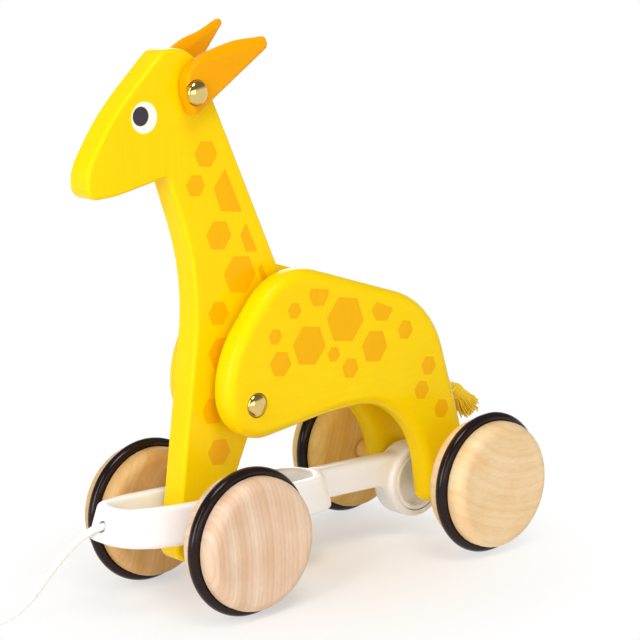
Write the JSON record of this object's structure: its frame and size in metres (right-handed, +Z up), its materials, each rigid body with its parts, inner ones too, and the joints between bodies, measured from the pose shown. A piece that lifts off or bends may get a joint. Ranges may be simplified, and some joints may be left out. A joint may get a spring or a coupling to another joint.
{
  "type": "wheeled pull toy",
  "caption": "Wooden giraffe pull toy on wheels: an off-centre rear axle rocks the body and nods the neck as it rolls, with ears that turn and a cord at the nose.",
  "frame": {"origin": "on the floor under the middle of the toy's length and width, cord left out", "axes": "+X forward, the way the giraffe faces; +Y to its left; +Z up"},
  "size_m": [0.2816, 0.1257, 0.2317],
  "materials": {
    "white_plastic": "moulded",
    "white_cord": "braided",
    "maple": "sanded and oiled",
    "steel": "drawn",
    "black_rubber": "satin",
    "yellow_wood": "painted",
    "orange_wood": "painted",
    "brass": "polished",
    "yellow_yarn": "twisted yarn"
  },
  "bodies": {
    "chassis": {"chassis": "white_plastic", "nose_knot": "white_cord", "pull_cord": "white_cord", "cord_coil": "white_cord", "cord_bead": "maple"},
    "front_wheelset": {"front_axle": "steel", "front_left_wheel": "maple", "front_right_wheel": "maple", "front_left_tyre": "black_rubber", "front_right_tyre": "black_rubber"},
    "drum": {"eccentric_drum": "white_plastic"},
    "rear_wheelset": {"rear_axle": "steel", "rear_left_wheel": "maple", "rear_right_wheel": "maple", "rear_left_tyre": "black_rubber", "rear_right_tyre": "black_rubber", "rear_left_spacer": "maple", "rear_right_spacer": "maple"},
    "neck": {"neck_board": "yellow_wood", "left_ear_pin": "brass", "right_ear_pin": "brass"},
    "left_ear": {"left_ear": "orange_wood"},
    "right_ear": {"right_ear": "orange_wood"},
    "torso": {"left_body_board": "yellow_wood", "right_body_board": "yellow_wood", "shoulder_pin": "brass", "shoulder_cap": "brass", "left_shoulder_washer": "white_plastic", "right_shoulder_washer": "white_plastic", "rump_block": "maple", "lower_rump_dowel": "maple", "upper_rump_dowel": "maple", "tail": "yellow_yarn"}
  },
  "joints": [
    {"name": "neck_rock", "type": "hinge", "parent": "chassis", "child": "neck", "pos_m": [0.0551, 0, 0.03], "axis": [0, 1, 0], "range_deg": [-5.5, 5.5]},
    {"name": "body_rock", "type": "hinge", "parent": "neck", "child": "torso", "pos_m": [0.038, 0, 0.0797], "axis": [0, 1, 0], "range_deg": [-5, 5]},
    {"name": "drum_turn", "type": "hinge", "parent": "chassis", "child": "drum", "pos_m": [-0.06309, 0, 0.02427], "axis": [0, 1, 0], "range_deg": [-45, 45]},
    {"name": "front_wheels_roll", "type": "hinge", "parent": "chassis", "child": "front_wheelset", "pos_m": [0.0551, 0, 0.03], "axis": [0, 1, 0], "continuous": true},
    {"name": "rear_wheels_roll", "type": "hinge", "parent": "drum", "child": "rear_wheelset", "pos_m": [-0.0671, 0, 0.03], "axis": [0, 1, 0], "continuous": true},
    {"name": "left_ear_turn", "type": "hinge", "parent": "neck", "child": "left_ear", "pos_m": [0.0554, 0, 0.2053], "axis": [0, 1, 0], "range_deg": [-30, 30]},
    {"name": "right_ear_turn", "type": "hinge", "parent": "neck", "child": "right_ear", "pos_m": [0.0554, 0, 0.2053], "axis": [0, 1, 0], "range_deg": [-30, 30]}
  ],
  "couplings": [
    {"joint": "drum_turn", "follows": "neck_rock", "ratio": 8.1248},
    {"joint": "body_rock", "follows": "neck_rock", "ratio": -0.8732}
  ]
}
